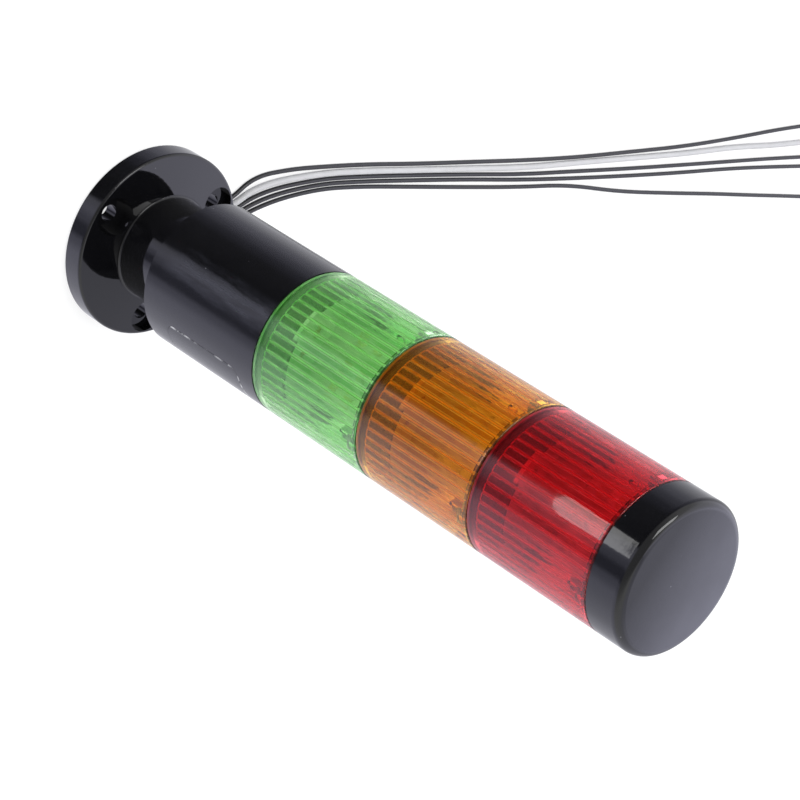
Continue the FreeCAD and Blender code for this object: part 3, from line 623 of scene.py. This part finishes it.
def ring_surface(name, rings, smooth_angle, slot_of):
    """Closed surface through rings of equally many points, the last ring joined to the first.

    slot_of gives a face's material number for its (row, column) pair; the rest take the first one.
    """
    mesh = bmesh.new()
    rows = [[mesh.verts.new(point) for point in ring] for ring in rings]
    for i, (row, following) in enumerate(zip(rows, rows[1:] + rows[:1])):
        for k in range(len(row)):
            after = (k + 1) % len(row)
            face = mesh.faces.new((row[k], row[after], following[after], following[k]))
            face.material_index = slot_of.get((i, k), 0)
    bmesh.ops.remove_doubles(mesh, verts=mesh.verts, dist=1e-7)
    bmesh.ops.dissolve_degenerate(mesh, edges=mesh.edges, dist=1e-7)
    bmesh.ops.recalc_face_normals(mesh, faces=mesh.faces)
    data = bpy.data.meshes.new(name)
    mesh.to_mesh(data)
    mesh.free()
    data.shade_smooth()
    data.set_sharp_from_angle(angle=math.radians(smooth_angle))
    thing = bpy.data.objects.new(name, data)
    bpy.context.scene.collection.objects.link(thing)
    return thing


def make_lens(colour):
    """Clear tube: smooth outside with eased edges, fluted inside, twist-lock ledges in its upper end."""
    seam = SEAMS[colour]
    stations = lens_stations()
    directions = [(math.cos(math.radians(a)), math.sin(math.radians(a))) for a, _ in stations]

    def ring(radii, height):
        return [(x * r * MM, y * r * MM, seam + height * MM) for (x, y), r in zip(directions, radii)]

    rings = [ring([radius] * len(stations), height) for radius, height in OUTER_PROFILE]
    ledge_top, ledge_low = LEDGE_HEIGHTS
    slabs = [
        ("plain", LENS_TOP, FLUTE_TOP), ("flute", FLUTE_TOP, ledge_top), ("ledge", ledge_top, ledge_low),
        ("stop", ledge_low, STOP_LOW), ("flute", STOP_LOW, FLUTE_LOW), ("plain", FLUTE_LOW, LENS_LOW),
    ]
    slot_of = {}
    all_round = range(len(stations))
    on_ridges = ridge_columns(stations)

    def paint(rows, columns, slot):
        slot_of.update({(row, k): slot for row in rows for k in columns})

    # Painted shade: the upper eased edge takes the dark shade plastic.
    paint(UPPER_EDGE_ROWS, all_round, SHADE)
    for kind, high, low in slabs:
        radii = [inner_radius(kind, angle, side) for angle, side in stations]
        wall = len(rings)
        if kind != "plain":
            paint([wall], [k for k in all_round if radii[k] > LEDGE_R], FLUTES)
            paint([wall], [k for k in on_ridges if radii[k] > LEDGE_R], RIDGES)
        if high == LENS_TOP:
            # Painted shade: the top end and the plain wall below it take the shade plastic, except on the
            # ridges.
            paint([wall - 1, wall], all_round, SHADE)
            paint([wall], on_ridges, CLEAR)
        rings.append(ring(radii, high))
        rings.append(ring(radii, low))
        # Painted shade: in amber and red the lowest band inside takes the shade plastic too.
        if low == LENS_LOW and colour != "green":
            paint([wall], all_round, SHADE)
        if low in (FLUTE_LOW, LENS_LOW):
            paint([wall + 1], all_round, RIDGES)
    lens = ring_surface(colour + "_lens_clear", rings, SMOOTH_ANGLE, slot_of)
    for finish in LENS_FINISHES:
        lens.data.materials.append(materials[colour + "_" + finish])
    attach(lens, colour + "_module")
    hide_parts(colour + "_lens")


for colour in SEAMS:
    make_lens(colour)


# ---------------------------------------------------------------- floor, light and surroundings
def direct_view(tree):
    """The light path's node, and a node whose value is one for camera and transmission rays."""
    path = tree.nodes.new("ShaderNodeLightPath")
    seen = tree.nodes.new("ShaderNodeMath")
    seen.operation = "MAXIMUM"
    tree.links.new(path.outputs["Is Camera Ray"], seen.inputs[0])
    tree.links.new(path.outputs["Is Transmission Ray"], seen.inputs[1])
    return path, seen


def make_floor():
    """Plain pale floor. It shows white to the camera and keeps the object's shadow."""
    bpy.ops.mesh.primitive_plane_add(size=6.0, location=(0.0, 0.0, 0.0))
    floor = bpy.context.object
    floor.name = "floor"
    material = bpy.data.materials.new("pale_floor")
    material.use_nodes = True
    tree = material.node_tree
    tree.nodes.clear()
    _, seen = direct_view(tree)
    pale = tree.nodes.new("ShaderNodeBsdfDiffuse")
    pale.inputs["Color"].default_value = (0.88, 0.88, 0.88, 1.0)
    shown = tree.nodes.new("ShaderNodeBsdfDiffuse")
    shown.inputs["Color"].default_value = (0.37, 0.37, 0.37, 1.0)
    glow = tree.nodes.new("ShaderNodeEmission")
    glow.inputs["Strength"].default_value = 0.66
    both = tree.nodes.new("ShaderNodeAddShader")
    pick = tree.nodes.new("ShaderNodeMixShader")
    out = tree.nodes.new("ShaderNodeOutputMaterial")
    tree.links.new(shown.outputs["BSDF"], both.inputs[0])
    tree.links.new(glow.outputs["Emission"], both.inputs[1])
    tree.links.new(seen.outputs["Value"], pick.inputs["Fac"])
    tree.links.new(pale.outputs["BSDF"], pick.inputs[1])
    tree.links.new(both.outputs["Shader"], pick.inputs[2])
    tree.links.new(pick.outputs["Shader"], out.inputs["Surface"])
    floor.data.materials.append(material)
    floor.visible_glossy = False
    floor.visible_shadow = False


def make_world():
    """White studio. Gloss also sees its darker side, behind the camera, and the soft boxes round it."""
    world = bpy.data.worlds.new("studio")
    bpy.context.scene.world = world
    world.use_nodes = True
    tree = world.node_tree
    tree.nodes.clear()
    place = tree.nodes.new("ShaderNodeTexCoord")
    split = tree.nodes.new("ShaderNodeSeparateXYZ")
    tree.links.new(place.outputs["Generated"], split.inputs["Vector"])
    turn = tree.nodes.new("ShaderNodeMath")
    turn.operation = "ARCTAN2"
    tree.links.new(split.outputs["Y"], turn.inputs[0])
    tree.links.new(split.outputs["X"], turn.inputs[1])
    share = tree.nodes.new("ShaderNodeMapRange")
    share.inputs["From Min"].default_value = -math.pi
    share.inputs["From Max"].default_value = math.pi
    tree.links.new(turn.outputs["Value"], share.inputs["Value"])

    def around(stops):
        """Colour by heading: pairs of degrees and colour."""
        node = tree.nodes.new("ShaderNodeValToRGB")
        node.color_ramp.interpolation = "EASE"
        first, last = node.color_ramp.elements
        first.position = (stops[0][0] + 180.0) / 360.0
        last.position = (stops[-1][0] + 180.0) / 360.0
        first.color = (*stops[0][1], 1.0)
        last.color = (*stops[-1][1], 1.0)
        for heading, colour in stops[1:-1]:
            node.color_ramp.elements.new((heading + 180.0) / 360.0).color = (*colour, 1.0)
        tree.links.new(share.outputs["Result"], node.inputs["Fac"])
        return node.outputs["Color"]

    def grey(level, blue=1.0):
        return (level, level, level * blue)

    low = around([
        (-180, grey(0.18, 1.25)), (-165, grey(0.08, 1.3)), (-150, grey(0.03, 1.15)),
        (-112, grey(0.011, 1.1)),
        (-99, grey(0.02, 1.2)), (-92, grey(0.42, 1.2)), (-82, grey(0.48, 1.25)), (-70, grey(0.30, 1.3)),
        (-60, grey(0.11, 1.4)), (-52, grey(0.11, 1.4)), (-42, grey(0.38, 1.3)), (-25, grey(0.60, 1.25)),
        (0, grey(0.60, 1.2)), (30, grey(0.52, 1.15)), (60, grey(0.42, 1.1)), (100, grey(0.42, 1.05)),
        (140, grey(0.40, 1.1)), (165, grey(0.28, 1.2)), (180, grey(0.18, 1.25)),
    ])
    high = around([
        (-180, grey(0.5)), (-120, grey(0.2)), (-60, grey(0.2)), (0, grey(0.6)), (60, grey(0.5, 1.15)),
        (86, grey(0.4, 1.2)), (94, grey(0.55, 1.2)), (112, grey(0.9, 1.2)), (150, grey(0.8, 1.1)),
        (180, grey(0.5)),
    ])
    rise = tree.nodes.new("ShaderNodeMapRange")
    rise.interpolation_type = "SMOOTHSTEP"
    rise.inputs["From Min"].default_value = -0.15
    rise.inputs["From Max"].default_value = 0.15
    tree.links.new(split.outputs["Z"], rise.inputs["Value"])
    mirrored = tree.nodes.new("ShaderNodeMix")
    mirrored.data_type = "RGBA"
    tree.links.new(rise.outputs["Result"], mirrored.inputs["Factor"])
    tree.links.new(low, mirrored.inputs[6])
    tree.links.new(high, mirrored.inputs[7])
    reflected = tree.nodes.new("ShaderNodeBackground")
    reflected.inputs["Strength"].default_value = 2.0
    tree.links.new(mirrored.outputs[2], reflected.inputs["Color"])
    white = tree.nodes.new("ShaderNodeBackground")
    white.inputs["Color"].default_value = (1.0, 1.0, 1.0, 1.0)
    white.inputs["Strength"].default_value = 1.0
    soft = tree.nodes.new("ShaderNodeBackground")
    soft.inputs["Color"].default_value = (0.97, 0.98, 1.0, 1.0)
    soft.inputs["Strength"].default_value = 1.0
    path, seen = direct_view(tree)
    first = tree.nodes.new("ShaderNodeMixShader")
    tree.links.new(seen.outputs["Value"], first.inputs["Fac"])
    tree.links.new(soft.outputs["Background"], first.inputs[1])
    tree.links.new(white.outputs["Background"], first.inputs[2])
    second = tree.nodes.new("ShaderNodeMixShader")
    tree.links.new(path.outputs["Is Glossy Ray"], second.inputs["Fac"])
    tree.links.new(first.outputs["Shader"], second.inputs[1])
    tree.links.new(reflected.outputs["Background"], second.inputs[2])
    out = tree.nodes.new("ShaderNodeOutputWorld")
    tree.links.new(second.outputs["Shader"], out.inputs["Surface"])


def soft_box(name, place, target, width, height, power):
    """Area light that faces its target and is itself unseen by the camera."""
    data = bpy.data.lights.new(name, "AREA")
    data.shape = "RECTANGLE"
    data.size = width
    data.size_y = height
    data.energy = power
    box = bpy.data.objects.new(name, data)
    box.location = place
    box.rotation_euler = (Vector(target) - Vector(place)).to_track_quat("-Z", "Y").to_euler()
    bpy.context.scene.collection.objects.link(box)
    box.visible_camera = False
    return box


make_floor()
make_world()
soft_box("overhead_box", (-0.35, 0.25, 0.95), (0.0, 0.0, 0.12), 0.6, 0.6, 3.0).visible_glossy = False
soft_box("side_box", (0.75, -0.25, 0.5), (0.0, 0.0, 0.12), 0.5, 0.5, 2.5).visible_glossy = False
soft_box("edge_strip", (-0.58, -0.3, 1.1), (0.0, 0.0, 0.2), 0.6, 0.34, 3.5)
# The low panel faces straight up, with its long side along X.
low_panel = soft_box("low_panel", (0.0, -0.37, 0.002), (0.0, -0.37, 1.0), 0.16, 0.07, 0.12)
low_panel.rotation_euler = (math.pi, 0.0, 0.0)

bpy.context.view_layer.update()
